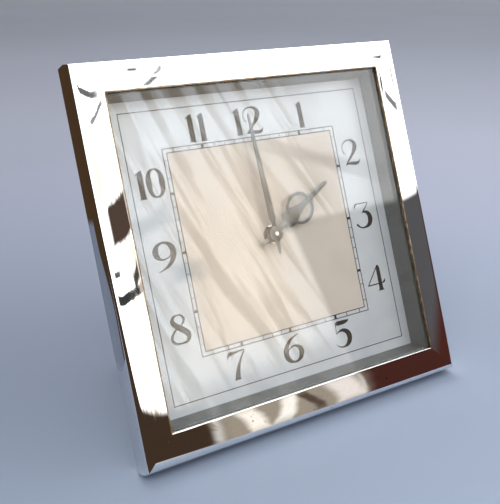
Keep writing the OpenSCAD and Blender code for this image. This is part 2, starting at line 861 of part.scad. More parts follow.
bezel();
glass_pane();
sight_ring();
dial_plate();
dial_grommet();
dial_pads();
corner_blocks();
back_plate();
back_plate_screws();
rear_cover();
rear_cover_screws();
stand_hinges();
stand_rivets();
stand_wire();
stand_feet();
movement_spacers();
movement_screws();
front_plate();
rear_plate();
plate_pillars();
plate_screws();
minute_wheel_stud();
balance_cock();
balance_cock_screw();
hairspring_stud();
hairspring();
click_screw();
click_spring();
centre_arbor();
cannon_pinion();
minute_hand();
hand_set_knob();
hour_wheel();
hour_hand();
minute_wheel();
minute_wheel_pinion();
centre_wheel();
centre_pinion();
third_wheel();
third_arbor();
fourth_wheel();
fourth_arbor();
escape_wheel();
escape_arbor();
pallet_lever();
pallet_arbor();
balance_wheel();
balance_staff();
barrel_drum();
barrel_cover();
mainspring();
barrel_arbor();
ratchet_wheel();
winding_key();
click();
regulator_lever();
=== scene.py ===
"""A square mantel clock in its chrome frame: visible surfaces, finishes, stage and camera."""

import json
import math

import bmesh
import bpy
from bpy.props import FloatProperty, FloatVectorProperty, IntProperty, PointerProperty
from bpy.types import Operator, Panel, PropertyGroup
from mathutils import Matrix, Vector


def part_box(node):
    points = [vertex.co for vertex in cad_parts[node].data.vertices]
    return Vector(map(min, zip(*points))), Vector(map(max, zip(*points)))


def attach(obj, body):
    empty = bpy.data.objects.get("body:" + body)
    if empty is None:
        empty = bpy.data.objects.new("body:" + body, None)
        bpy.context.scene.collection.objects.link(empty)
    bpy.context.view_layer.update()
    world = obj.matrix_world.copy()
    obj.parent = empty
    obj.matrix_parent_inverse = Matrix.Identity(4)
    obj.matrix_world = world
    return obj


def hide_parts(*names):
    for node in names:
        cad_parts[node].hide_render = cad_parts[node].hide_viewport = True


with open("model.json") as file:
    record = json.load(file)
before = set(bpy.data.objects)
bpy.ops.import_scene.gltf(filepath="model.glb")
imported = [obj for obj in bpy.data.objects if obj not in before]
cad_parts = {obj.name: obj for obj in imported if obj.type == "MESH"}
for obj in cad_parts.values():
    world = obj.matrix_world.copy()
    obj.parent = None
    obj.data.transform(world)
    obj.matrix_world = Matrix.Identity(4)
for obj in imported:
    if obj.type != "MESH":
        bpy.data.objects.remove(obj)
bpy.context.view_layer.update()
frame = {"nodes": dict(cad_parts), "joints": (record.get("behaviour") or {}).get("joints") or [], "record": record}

bl_info = {
    "name": "Mantel Clock",
    "version": (1, 0, 0),
    "blender": (4, 5, 0),
    "location": "3D View > Sidebar > Clock",
    "description": "Builds the surfaces and finishes of a square mantel clock around its frame",
    "category": "Object",
}

MM = 0.001
# Depths of the dial's face and of the middle of its plate, in mm
DIAL_FACE = 8.6
DIAL_MIDDLE = 8.85
# The clock's own axes: RIGHT, DEPTH into the case, and UP along the leaning dial
RIGHT = Vector((1, 0, 0))
DEPTH = Vector(next(j["axis"] for j in frame["joints"] if j["name"] == "hands_turn")).normalized()
UP = RIGHT.cross(DEPTH)
LEAN = math.atan2(-DEPTH.z, DEPTH.y)
_low, _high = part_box("dial_plate")
CENTRE = (_low + _high) / 2 - DEPTH * DIAL_MIDDLE * MM
CLOCK = Matrix.Translation(CENTRE) @ Matrix((RIGHT, DEPTH, UP)).transposed().to_4x4() @ Matrix.Scale(MM, 4)

# Frame section, in mm: half widths of the window and the case, depth of the side wall, how far the lip stands
# forward, radius of the face and where it ends, radius of the roll, and thickness of the sheet
WINDOW_HALF = 54.85
CASE_HALF = 65.65
CASE_DEPTH = 9.6
LIP = 0.87
FACE_R = 75
FACE_END = 63.4
ROLL_R = 3
SHEET = 0.9


class ClockSizes(PropertyGroup):
    """Sizes that a user would change"""

    face_steps: IntProperty(name="Frame steps", description="Facets across the frame's curved face", default=20, min=4)
    minute_angle: FloatProperty(name="Minute hand", description="Clockwise angle of the minute hand from twelve",
                                default=math.radians(-2.4), subtype="ANGLE")
    hour_angle: FloatProperty(name="Hour hand", description="Clockwise angle of the hour hand from twelve",
                              default=math.radians(60.2), subtype="ANGLE")
    floor_size: FloatProperty(name="Floor size", description="Width of the floor", default=8.0, unit="LENGTH")


class ClockColours(PropertyGroup):
    """Colours that a user would change"""

    ink: FloatVectorProperty(name="Ink", description="Printed figures and lines", size=3, subtype="COLOR",
                             default=(0.022, 0.020, 0.017))
    cream: FloatVectorProperty(name="Dial centre", description="Warm centre square of the dial", size=3,
                               subtype="COLOR", default=(0.39, 0.355, 0.32))
    silver: FloatVectorProperty(name="Dial", description="Silvered outer zone of the dial", size=3,
                                subtype="COLOR", default=(0.38, 0.41, 0.44))
    backdrop: FloatVectorProperty(name="Backdrop", description="Plain background", size=3, subtype="COLOR",
                                  default=(0.26, 0.28, 0.33))


# ---------------------------------------------------------------- geometry helpers

# Points closer than this are one, in mm
MERGE = 1e-5


def arc(centre, radius, start, end, steps):
    """Points of an arc, by degrees from straight forward, as (half width, depth)."""
    turns = (math.radians(start + (end - start) * i / steps) for i in range(steps + 1))
    return [(centre[0] + radius * math.sin(t), centre[1] - radius * math.cos(t)) for t in turns]


def face_depth(half):
    """Depth of the frame's curved face at a half width."""
    return -LIP + FACE_R - math.sqrt(FACE_R ** 2 - (half - WINDOW_HALF) ** 2)


def loop_of(bm, points):
    """Joins points into a closed loop of edges."""
    verts = [bm.verts.new(p) for p in points]
    return verts + [bm.edges.new(pair) for pair in zip(verts, verts[1:] + verts[:1])]


def full_turn(bm, section, steps):
    """Spins a closed section right round the line into the case through the dial's centre."""
    bmesh.ops.spin(bm, geom=loop_of(bm, section), cent=(0, 0, 0), axis=(0, 1, 0), angle=2 * math.pi, steps=steps,
                   use_merge=True)
    bmesh.ops.remove_doubles(bm, verts=bm.verts, dist=MERGE)


def mitred_frame(bm, section):
    """Four rails with sharp mitres at the corners, from a closed section of (half width, depth) points."""
    full_turn(bm, [(h, d, h) for h, d in section], 4)
    for edge in bm.edges:
        first, second = (vert.co for vert in edge.verts)
        edge.smooth = first.x * second.x < 0 or first.z * second.z < 0


def turned_ring(bm, section, steps=64):
    """A turned ring, from a closed section of (radius, depth) points."""
    full_turn(bm, [(r, d, 0) for r, d in section], steps)


def block(bm, x0, x1, d0, d1, z0, z1, turn=0.0):
    """A plain bar between depths d0 and d1, turned counterclockwise about the dial's centre."""
    size = Matrix.Diagonal((x1 - x0, d1 - d0, z1 - z0, 1))
    place = Matrix.Translation(((x0 + x1) / 2, (d0 + d1) / 2, (z0 + z1) / 2))
    bmesh.ops.create_cube(bm, size=1, matrix=Matrix.Rotation(-turn, 4, "Y") @ place @ size)


def finish_mesh(name, bm, crease=math.radians(28), place=CLOCK):
    """Places a mesh, points its faces outwards, and marks every fold of crease or more as sharp."""
    bm.transform(place)
    bmesh.ops.recalc_face_normals(bm, faces=bm.faces)
    for face in bm.faces:
        face.smooth = True
    for edge in bm.edges:
        if len(edge.link_faces) == 2 and edge.calc_face_angle() >= crease:
            edge.smooth = False
    mesh = bpy.data.meshes.new(name)
    bm.to_mesh(mesh)
    bm.free()
    return mesh


def add_piece(name, mesh, body, slot, replaced=()):
    """Adds a finished mesh as a piece of the clock."""
    piece = bpy.data.objects.new(name, mesh)
    bpy.context.scene.collection.objects.link(piece)
    mesh.materials.clear()
    mesh.materials.append(finish(slot))
    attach(piece, body)
    if replaced:
        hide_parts(*replaced)
    return piece


def curve_mesh(name, curve, place):
    """Turns a curve into a mesh and puts it in place."""
    holder = bpy.data.objects.new(name, curve)
    bpy.context.scene.collection.objects.link(holder)
    graph = bpy.context.evaluated_depsgraph_get()
    mesh = bpy.data.meshes.new_from_object(holder.evaluated_get(graph))
    bpy.data.objects.remove(holder)
    bpy.data.curves.remove(curve)
    bm = bmesh.new()
    bm.from_mesh(mesh)
    bpy.data.meshes.remove(mesh)
    bmesh.ops.remove_doubles(bm, verts=bm.verts, dist=MERGE)
    return finish_mesh(name, bm, place=place)


# Flat drawings lie in (right, up) and stand towards the viewer: this lays one on the dial
UPRIGHT = Matrix(((1, 0, 0, 0), (0, 0, -1, 0), (0, 1, 0, 0), (0, 0, 0, 1)))


def stroke_mesh(name, strokes, surface, domed=0.025):
    """Low, domed brush strokes on a surface. A stroke is (points, closed), a point (right, up, half width)."""
    curve = bpy.data.curves.new(name, "CURVE")
    curve.dimensions = "3D"
    curve.bevel_depth = 1
    curve.bevel_resolution = 2
    curve.resolution_u = 7
    curve.use_fill_caps = True
    for points, closed in strokes:
        spline = curve.splines.new("BEZIER")
        spline.bezier_points.add(len(points) - 1)
        spline.use_cyclic_u = closed
        for knot, (x, up, half) in zip(spline.bezier_points, points):
            knot.co = (x, up, 0)
            knot.radius = half
            knot.handle_left_type = knot.handle_right_type = "AUTO"
    flat = Matrix.Diagonal((1, 1, domed, 1))
    return curve_mesh(name, curve, CLOCK @ Matrix.Translation((0, surface, 0)) @ UPRIGHT @ flat)


def plate_curve(name, outlines, thickness, bevel):
    """A flat plate cut from closed outlines of (right, up) points, with a rounded edge."""
    curve = bpy.data.curves.new(name, "CURVE")
    curve.dimensions = "2D"
    curve.fill_mode = "BOTH"
    curve.extrude = thickness / 2 - bevel
    curve.bevel_depth = bevel
    curve.bevel_resolution = 2
    curve.offset = -bevel
    for outline in outlines:
        spline = curve.splines.new("POLY")
        spline.points.add(len(outline) - 1)
        spline.use_cyclic_u = True
        for knot, (x, up) in zip(spline.points, outline):
            knot.co = (x, up, 0, 1)
    return curve


def mirrored(points):
    """A closed outline from (distance along, half width) points, the same on both sides."""
    return [(-w, a) for a, w in points] + [(w, a) for a, w in reversed(points)]


def circle_of(radius, up, steps=48):
    """A closed outline round a point above the hand's own centre."""
    turns = (2 * math.pi * i / steps for i in range(steps))
    return [(radius * math.sin(t), up + radius * math.cos(t)) for t in turns]


# ---------------------------------------------------------------- material helpers

def link(tree, out_socket, in_socket):
    """Joins an output to an input."""
    tree.links.new(out_socket, in_socket)


def node(tree, kind, values=None, **settings):
    """Adds a node, sets its properties, and fills its inputs by name or number."""
    made = tree.nodes.new(kind)
    for key, value in settings.items():
        setattr(made, key, value)
    for key, value in (values or {}).items():
        socket = made.inputs[key]
        if isinstance(value, bpy.types.NodeSocket):
            link(tree, value, socket)
        else:
            socket.default_value = value
    return made


def math_node(tree, operation, *values):
    """The result of a sum on values or sockets."""
    return node(tree, "ShaderNodeMath", dict(enumerate(values)), operation=operation).outputs[0]


def blend_colours(tree, factor, first, second, kind="MIX"):
    """Goes from the first colour to the second by a factor."""
    made = node(tree, "ShaderNodeMix", data_type="RGBA", blend_type=kind)
    for socket, value in ((made.inputs[0], factor), (made.inputs[6], first), (made.inputs[7], second)):
        if isinstance(value, bpy.types.NodeSocket):
            link(tree, value, socket)
        else:
            socket.default_value = value if socket.type == "VALUE" else (*value[:3], 1)
    return made.outputs[2]


def ramp(tree, value, low, high, to_low=0.0, to_high=1.0, smooth=True):
    """Goes from to_low to to_high as a value goes from low to high, and stays there past them."""
    made = node(tree, "ShaderNodeMapRange", {0: value, 1: low, 2: high, 3: to_low, 4: to_high},
                interpolation_type="SMOOTHSTEP" if smooth else "LINEAR")
    return made.outputs[0]


def fall(tree, value, low, high):
    """One up to low, and nothing from high on."""
    return ramp(tree, value, low, high, 1.0, 0.0)


def shaded(tree, colour, tone):
    """Multiplies a colour by a grey tone."""
    grey = node(tree, "ShaderNodeCombineColor", {0: tone, 1: tone, 2: tone})
    return blend_colours(tree, 1.0, colour, grey.outputs[0], "MULTIPLY")


def group_tree(name, inputs, outputs):
    """A node group with named sockets, made once. Inputs are (name, kind, default)."""
    tree = bpy.data.node_groups.new(name, "ShaderNodeTree")
    for label, kind, default in inputs:
        tree.interface.new_socket(label, in_out="INPUT", socket_type=kind).default_value = default
    for label, kind in outputs:
        tree.interface.new_socket(label, in_out="OUTPUT", socket_type=kind)
    return tree, tree.nodes.new("NodeGroupInput").outputs, tree.nodes.new("NodeGroupOutput").inputs


def metal_surface_group():
    """Fine grain, handling smudges and small specks of a worked metal, lacquer or printed surface."""
    tree, given, out = group_tree(
        "metal_surface",
        [("Grain scale", "NodeSocketFloat", 900.0), ("Stretch", "NodeSocketVector", (1, 1, 1)),
         ("Smudge scale", "NodeSocketFloat", 60.0)],
        [("Grain", "NodeSocketFloat"), ("Smudge", "NodeSocketFloat"), ("Specks", "NodeSocketFloat")])
    place = node(tree, "ShaderNodeTexCoord").outputs["Object"]
    level = node(tree, "ShaderNodeMapping", {"Vector": place, "Rotation": (LEAN, 0, 0)})
    pulled = node(tree, "ShaderNodeVectorMath", {0: level.outputs[0], 1: given["Stretch"]}, operation="MULTIPLY")
    grain = node(tree, "ShaderNodeTexNoise", {"Vector": pulled.outputs[0], "Scale": given["Grain scale"],
                                              "Detail": 4.0, "Roughness": 0.6})
    smudge = node(tree, "ShaderNodeTexNoise", {"Vector": place, "Scale": given["Smudge scale"], "Detail": 5.0,
                                               "Roughness": 0.62, "Distortion": 0.6})
    specks = node(tree, "ShaderNodeTexVoronoi", {"Vector": place, "Scale": 420.0, "Randomness": 1.0})
    link(tree, grain.outputs[0], out["Grain"])
    link(tree, ramp(tree, smudge.outputs[0], 0.42, 0.68), out["Smudge"])
    near = fall(tree, specks.outputs["Distance"], 0.10, 0.26)
    few = ramp(tree, node(tree, "ShaderNodeTexNoise", {"Vector": place, "Scale": 90.0}).outputs[0], 0.58, 0.66)
    link(tree, math_node(tree, "MULTIPLY", near, few), out["Specks"])
    return tree


def metal_surface(tree):
    """Places the shared surface group in a material, and builds it when first asked for."""
    group = bpy.data.node_groups.get("metal_surface") or metal_surface_group()
    return node(tree, "ShaderNodeGroup", node_tree=group)


# Each finish: base colour and the second tone of its smudges, metallic, roughness from and to, grain as (scale,
# stretch), smudge scale, bump in mm, and mix, how far the second tone shows. Where they aren't the usual ones,
# grained is how much the grain changes the tone, and specular the shader's own level
FINISHES = {
    "chrome": dict(base=(0.80, 0.80, 0.81), tone=(0.68, 0.68, 0.69), metallic=1.0, rough=(0.0, 0.035),
                   grain=(2500, (1, 1, 1)), smudge=70, bump=0.0, mix=0.35),
    "bright_steel": dict(base=(0.62, 0.62, 0.63), tone=(0.45, 0.45, 0.46), metallic=1.0, rough=(0.16, 0.34),
                         grain=(1500, (1, 1, 6)), smudge=120, bump=0.004, mix=0.5),
    "clock_brass": dict(base=(0.78, 0.56, 0.24), tone=(0.58, 0.38, 0.14), metallic=1.0, rough=(0.22, 0.42),
                        grain=(1400, (1, 6, 1)), smudge=150, bump=0.004, mix=0.5),
    "blued_spring": dict(base=(0.05, 0.08, 0.22), tone=(0.12, 0.08, 0.16), metallic=1.0, rough=(0.18, 0.3),
                         grain=(1600, (1, 1, 1)), smudge=200, bump=0.002, mix=0.6),
    "satin_grey": dict(base=(0.15, 0.155, 0.15), tone=(0.11, 0.115, 0.11), metallic=0.55, rough=(0.36, 0.5),
                       grain=(1800, (1, 1, 1)), smudge=90, bump=0.003, mix=0.5),
    "hand_grey": dict(base=(0.095, 0.10, 0.10), tone=(0.06, 0.062, 0.06), metallic=0.6, rough=(0.30, 0.46),
                      grain=(1700, (1, 1, 1)), smudge=220, bump=0.004, mix=0.5),
    "dark_pad": dict(base=(0.045, 0.045, 0.047), tone=(0.09, 0.09, 0.09), metallic=0.0, rough=(0.75, 0.95),
                     grain=(1200, (1, 1, 1)), smudge=200, bump=0.05, mix=0.6),
    "back_lacquer": dict(base=(0.115, 0.135, 0.15), tone=(0.16, 0.18, 0.19), metallic=0.15, rough=(0.34, 0.52),
                         grain=(1500, (1, 1, 1)), smudge=70, bump=0.018, mix=0.6),
    "cover_plastic": dict(base=(0.022, 0.022, 0.024), tone=(0.05, 0.05, 0.052), metallic=0.0, rough=(0.30, 0.46),
                          grain=(1300, (1, 1, 1)), smudge=60, bump=0.02, mix=0.5),
    "foot_rubber": dict(base=(0.018, 0.018, 0.018), tone=(0.055, 0.053, 0.05), metallic=0.0, rough=(0.65, 0.9),
                        grain=(1800, (1, 1, 1)), smudge=180, bump=0.03, mix=0.6),
    "printed_ink": dict(tone=(0.06, 0.05, 0.04), metallic=0.0, rough=(0.62, 0.8),
                        grain=(2200, (1, 1, 1)), smudge=260, bump=0.0, mix=0.4, specular=0.12),
    "worn_lip": dict(base=(0.13, 0.085, 0.045), tone=(0.30, 0.25, 0.19), metallic=0.9, rough=(0.25, 0.5),
                     grain=(1500, (1, 1, 1)), smudge=300, bump=0.004, mix=1.0),
    "dial_silver": dict(tone=(0.31, 0.33, 0.35), metallic=0.35, rough=(0.38, 0.52),
                        grain=(2600, (1, 1, 0.12)), smudge=26, bump=0.0, mix=0.55, grained=0.012, specular=0.35),
    "dial_cream": dict(tone=(0.34, 0.30, 0.26), metallic=0.2, rough=(0.38, 0.52),
                       grain=(2600, (1, 1, 0.12)), smudge=34, bump=0.0, mix=0.45, grained=0.012, specular=0.35),
}
# Finishes that take their base from the user's colours
COLOUR_OF = {"printed_ink": "ink", "dial_cream": "cream", "dial_silver": "silver"}


def finish(name):
    """The material of that name, built when first asked for."""
    made = bpy.data.materials.get(name + "_finish")
    return made or (clear_glass() if name == "clear_glass" else worked_finish(name))


def worked_finish(name):
    """A finish from its row in FINISHES: smudged colour, grain, roughness and bump."""
    spec = FINISHES[name]
    colours = bpy.context.scene.clock_colours
    base = getattr(colours, COLOUR_OF[name]) if name in COLOUR_OF else spec["base"]
    material = bpy.data.materials.new(name + "_finish")
    material.use_nodes = True
    tree = material.node_tree
    shader = tree.nodes["Principled BSDF"]
    shader.inputs["Metallic"].default_value = spec["metallic"]
    shader.inputs["Specular IOR Level"].default_value = spec.get("specular", 0.5)
    surface = metal_surface(tree)
    surface.inputs["Grain scale"].default_value = spec["grain"][0]
    surface.inputs["Stretch"].default_value = spec["grain"][1]
    surface.inputs["Smudge scale"].default_value = spec["smudge"]
    worn = math_node(tree, "MULTIPLY", surface.outputs["Smudge"], spec["mix"])
    colour = blend_colours(tree, worn, base, spec["tone"])
    change = spec.get("grained", 0.06)
    grained = ramp(tree, surface.outputs["Grain"], 0.25, 0.75, 1 - change, 1 + change, smooth=False)
    colour = shaded(tree, colour, grained)
    if spec["metallic"] > 0.5:
        pitted = math_node(tree, "MULTIPLY", surface.outputs["Specks"], 0.5)
        colour = blend_colours(tree, pitted, colour, (0.10, 0.07, 0.05))
    link(tree, colour, shader.inputs["Base Color"])
    low, high = spec["rough"]
    uneven = math_node(tree, "MULTIPLY_ADD", surface.outputs["Grain"], 0.4, math_node(
        tree, "MULTIPLY", surface.outputs["Smudge"], 0.6))
    link(tree, ramp(tree, uneven, 0.1, 0.8, low, high, smooth=False), shader.inputs["Roughness"])
    bump = node(tree, "ShaderNodeBump", {"Height": surface.outputs["Grain"], "Strength": 1.0,
                                         "Distance": spec["bump"] * MM})
    link(tree, bump.outputs[0], shader.inputs["Normal"])
    return material


def clear_glass():
    """Plain pane glass with a faint uneven tint, which casts no shadow."""
    material = bpy.data.materials.new("clear_glass_finish")
    material.use_nodes = True
    tree = material.node_tree
    shader = tree.nodes["Principled BSDF"]
    shader.inputs["Transmission Weight"].default_value = 1.0
    shader.inputs["IOR"].default_value = 1.46
    surface = metal_surface(tree)
    surface.inputs["Smudge scale"].default_value = 45
    link(tree, blend_colours(tree, surface.outputs["Smudge"], (0.985, 0.99, 0.985), (0.95, 0.955, 0.95)),
         shader.inputs["Base Color"])
    shader.inputs["Roughness"].default_value = 0.0
    through = node(tree, "ShaderNodeBsdfTransparent")
    path = node(tree, "ShaderNodeLightPath")
    mixed = node(tree, "ShaderNodeMixShader", {0: path.outputs["Is Shadow Ray"], 1: shader.outputs[0],
                                               2: through.outputs[0]})
    link(tree, mixed.outputs[0], tree.nodes["Material Output"].inputs["Surface"])
    return material


# ---------------------------------------------------------------- operators

class ClockPiece:
    """What the clock's operators share"""

    bl_options = {"REGISTER", "UNDO"}


class MANTEL_OT_finishes(ClockPiece, Operator):
    """Gives every frame node the finish of its material slot"""

    bl_idname = "mantel.finishes"
    bl_label = "Finishes of the frame's own pieces"

    def execute(self, context):
        for part in frame["record"]["subparts"]:
            materials = frame["nodes"][part["node"]].data.materials
            materials.clear()
            materials.append(finish(part["material_slot"]))
        return {"FINISHED"}


class MANTEL_OT_chrome_frame(ClockPiece, Operator):
    """Pressed chrome frame with its rolled inner lip"""

    bl_idname = "mantel.chrome_frame"
    bl_label = "Chrome frame"

    def execute(self, context):
        steps = context.scene.clock_sizes.face_steps
        # radii of the lip's edge, the front edge and the rear edge, and the way each arc ends, in mm and degrees
        lip_r, edge_r, rear_r = 0.12, 0.6, 1.2
        roll_end, edge_end = 35, 76
        lean_in = math.asin((FACE_END - WINDOW_HALF) / FACE_R)
        tilt = math.degrees(lean_in)
        roll_centre = (FACE_END - ROLL_R * math.sin(lean_in), face_depth(FACE_END) + ROLL_R * math.cos(lean_in))
        turn = math.radians(roll_end)
        edge_centre = (roll_centre[0] + (ROLL_R - edge_r) * math.sin(turn),
                       roll_centre[1] - (ROLL_R - edge_r) * math.cos(turn))
        face_centre = (WINDOW_HALF, FACE_R - LIP)
        face_start = math.degrees(math.asin(lip_r / FACE_R)) + 0.3
        # the outer wall's front end, the inner faces of the sheet, and the rear flange's inner edge
        wall_top, wall_in, inner_back = 3, CASE_HALF - SHEET, CASE_DEPTH - SHEET
        flange_in, chamfer = CASE_HALF - 3, 0.3
        # the outer wall has a second point near each end, which keeps its shading flat
        section = (
            [(WINDOW_HALF, SHEET - LIP)] + arc((WINDOW_HALF + lip_r, lip_r - LIP), lip_r, -90, 0, 5)
            + arc(face_centre, FACE_R, face_start, tilt, steps)
            + arc(roll_centre, ROLL_R, tilt, roll_end, 8)[1:]
            + arc(edge_centre, edge_r, roll_end, edge_end, 6)[1:]
            + [(CASE_HALF, wall_top), (CASE_HALF, wall_top + 0.3), (CASE_HALF, CASE_DEPTH - rear_r - 0.2)]
            + arc((CASE_HALF - rear_r, CASE_DEPTH - rear_r), rear_r, 90, 180, 8)
            + [(flange_in, CASE_DEPTH), (flange_in, inner_back), (wall_in - chamfer, inner_back),
               (wall_in, inner_back - chamfer), (wall_in, 3.2), (CASE_HALF - 1.6, 1.4)]
            + arc(face_centre, FACE_R - SHEET, tilt, 1, 6)
        )
        bm = bmesh.new()
        mitred_frame(bm, section)
        add_piece("chrome_frame", finish_mesh("chrome_frame", bm), "case", "chrome", ["bezel"])
        # the plating has worn through along the lip at the top, the right and the left
        half_length, proud, rear = WINDOW_HALF + 0.1, 0.03, 0.2
        inner, outer = WINDOW_HALF - 0.04, WINDOW_HALF + 0.42
        bm = bmesh.new()
        for turn in (0, -math.pi / 2, math.pi / 2):
            block(bm, -half_length, half_length, -LIP - proud, rear, inner, outer, turn)
        add_piece("lip_wear", finish_mesh("lip_wear", bm), "case", "worn_lip")
        return {"FINISHED"}


class MANTEL_OT_dial_print(ClockPiece, Operator):
    """Cream centre square, minute track and border line printed on the dial"""

    bl_idname = "mantel.dial_print"
    bl_label = "Dial printing"

    def execute(self, context):
        # half widths of the lines, then their own widths and those of the minute and five-minute marks
        eyelet_half, track_in, track_out, border_in, border_out = 3.0, 34.4, 35.9, 49.0, 49.3
        inner_line, outer_line, minute_mark, hour_mark = 0.32, 0.30, 0.24, 0.95
        cream_thick, border_thick, mark_thick, line_thick = 0.03, 0.04, 0.045, 0.05
        bm = bmesh.new()
        self.printed_square(bm, eyelet_half, track_in, cream_thick)
        add_piece("dial_centre_square", finish_mesh("dial_centre_square", bm), "case", "dial_cream")
        bm = bmesh.new()
        self.printed_square(bm, track_out - outer_line, track_out, line_thick)
        self.printed_square(bm, track_in - inner_line, track_in, line_thick)
        reach = (track_out + track_in) / 2
        for side in range(4):
            for minute in range(-7, 8):
                half = (minute_mark if minute % 5 else hour_mark) / 2
                x = reach * math.tan(math.radians(6 * minute))
                block(bm, x - half, x + half, DIAL_FACE - mark_thick, DIAL_FACE, track_in, track_out,
                      side * math.pi / 2)
        add_piece("minute_track", finish_mesh("minute_track", bm), "case", "printed_ink")
        bm = bmesh.new()
        self.printed_square(bm, border_in, border_out, border_thick)
        add_piece("dial_border", finish_mesh("dial_border", bm), "case", "printed_ink")
        return {"FINISHED"}

    def printed_square(self, bm, inner, outer, thick):
        """A flat square ring that stands on the dial."""
        front = DIAL_FACE - thick
        mitred_frame(bm, [(inner, front), (outer, front), (outer, DIAL_FACE), (inner, DIAL_FACE)])


# Figures as brush strokes of (right, up, half width) about their middle, 9.9 mm high
FIGURES = {
    "0": [([(0, 4.72, .22), (-1.75, 3.7, .55), (-2.35, 0, 1.0), (-1.75, -3.7, .55), (0, -4.72, .22),
            (1.75, -3.7, .55), (2.35, 0, 1.0), (1.75, 3.7, .55)], True)],
    "1": [([(0.3, 4.0, .8), (0.3, 3.2, .9), (0.3, -4.0, .88), (0.3, -4.6, 1.0), (0.3, -4.95, 1.2)], False),
          ([(-1.4, 3.35, .08), (-0.4, 3.9, .3), (0.7, 4.4, .4), (1.15, 4.85, .1)], False)],
    "2": [([(-2.7, -0.3, .25), (-3.4, 0.5, .14), (-3.65, 1.8, .14), (-2.7, 3.9, .2), (-0.2, 4.78, .2),
            (1.9, 4.0, .65), (2.5, 2.5, .9), (1.7, 0.5, .72), (-0.3, -1.8, .4), (-2.0, -3.5, .25),
            (-3.1, -4.65, .18)], False),
          ([(-3.0, -4.6, .2), (-1.6, -4.2, .35), (0.5, -4.35, .6), (2.5, -4.35, .55), (3.35, -3.75, .25),
            (3.8, -2.7, .06)], False)],
    "3": [([(-3.3, 4.62, .22), (3.1, 4.62, .2)], False),
          ([(-3.75, 2.75, .05), (-3.45, 3.7, .35), (-2.9, 4.45, .4), (-2.2, 4.7, .15)], False),
          ([(3.1, 4.5, .2), (0.0, 1.15, .24)], False),
          ([(-0.5, 0.95, .14), (0.6, 1.2, .3), (2.3, 0.4, .75), (2.95, -1.5, 1.0), (2.2, -3.6, .8),
            (0, -4.7, .32), (-2.2, -4.45, .22), (-3.55, -3.2, .42), (-3.6, -2.9, .3)], False)],
    "4": [([(1.6, 4.85, .2), (-4.15, -2.2, .18)], False),
          ([(-4.3, -2.2, .2), (3.3, -2.2, .2)], False),
          ([(2.7, -2.2, .12), (3.7, -1.75, .4), (4.25, -0.8, .06)], False),
          ([(1.75, 4.95, .3), (1.75, 3.8, .78), (1.75, -3.8, .8), (1.75, -4.5, .95), (1.75, -4.95, 1.35)], False)],
    "5": [([(-2.5, 4.1, .5), (-1.4, 4.2, .72), (1.6, 4.25, .68), (3.3, 4.6, .3), (3.55, 4.9, .05)], False),
          ([(-2.5, 4.6, .18), (-2.75, 0.4, .16)], False),
          ([(-2.8, 0.35, .14), (-1.2, 1.25, .3), (1.2, 1.0, .7), (2.75, -1.0, 1.02), (2.2, -3.4, .85),
            (0.1, -4.68, .35), (-2.2, -4.4, .2), (-3.8, -3.2, .06)], False)],
    "6": [([(3.3, 4.85, .08), (1.2, 4.2, .25), (-1.5, 2.5, .6), (-3.1, -0.4, .98), (-2.75, -3.0, .9),
            (-0.6, -4.65, .35), (1.6, -4.35, .45), (3.15, -2.4, .95), (3.0, -0.6, .85), (1.2, 0.85, .3),
            (-0.8, 0.6, .2), (-2.6, -0.8, .2)], False)],
    "7": [([(-3.55, 2.5, .06), (-3.25, 3.7, .4), (-2.5, 4.35, .6), (-1.0, 4.4, .5), (0.8, 4.6, .25),
            (3.55, 4.75, .14)], False),
          ([(3.45, 4.65, .16), (1.3, 1.6, .38), (-0.3, -1.8, .68), (-0.85, -4.1, .9), (-0.9, -4.6, 1.0),
            (-0.9, -4.95, 1.3)], False)],
    "8": [([(0.2, 4.78, .2), (-1.7, 4.05, .45), (-2.1, 2.7, .7), (-1.0, 1.3, .85), (1.1, -0.3, .92),
            (2.85, -2.3, .9), (2.4, -4.1, .5), (0, -4.75, .25), (-2.6, -4.1, .45), (-3.2, -2.6, .5),
            (-2.0, -0.5, .3), (0.9, 1.3, .22), (2.1, 2.9, .42), (1.6, 4.25, .35)], True)],
}
# How many times wider the ink spreads each stroke
INK_SPREAD = 1.13
# Dial figures: (digits with their shift to the right) and the place of the whole, in mm
NUMERALS = {
    1: ([("1", 0)], (22.1, 41.6)), 2: ([("2", 0)], (42, 24.7)), 3: ([("3", 0)], (42.2, 0)),
    4: ([("4", 0)], (42.2, -24.9)), 5: ([("5", 0)], (22.1, -41.8)), 6: ([("6", 0)], (-0.2, -41.8)),
    7: ([("7", 0)], (-23.2, -41.8)), 8: ([("8", 0)], (-42, -24.7)), 9: ([("9", 0)], (-42, 0)),
    10: ([("1", -3.8), ("0", 1.7)], (-42, 24.8)), 11: ([("1", -2.15), ("1", 2.15)], (-21.5, 41.6)),
    12: ([("1", -4.8), ("2", 1.55)], (0, 41.7)),
}


class MANTEL_OT_numerals(ClockPiece, Operator):
    """Twelve printed figures"""

    bl_idname = "mantel.numerals"
    bl_label = "Dial figures"

    def execute(self, context):
        figures = dict(FIGURES)
        figures["9"] = [([(-x, -up, half) for x, up, half in points], closed) for points, closed in FIGURES["6"]]
        for hour, (digits, (x0, up0)) in NUMERALS.items():
            strokes = []
            for digit, shift in digits:
                for points, closed in figures[digit]:
                    knots = [(x0 + shift + x, up0 + up, half * INK_SPREAD) for x, up, half in points]
                    strokes.append((knots, closed))
            name = f"figure_{hour}"
            add_piece(name, stroke_mesh(name, strokes, DIAL_FACE), "case", "printed_ink")
        return {"FINISHED"}


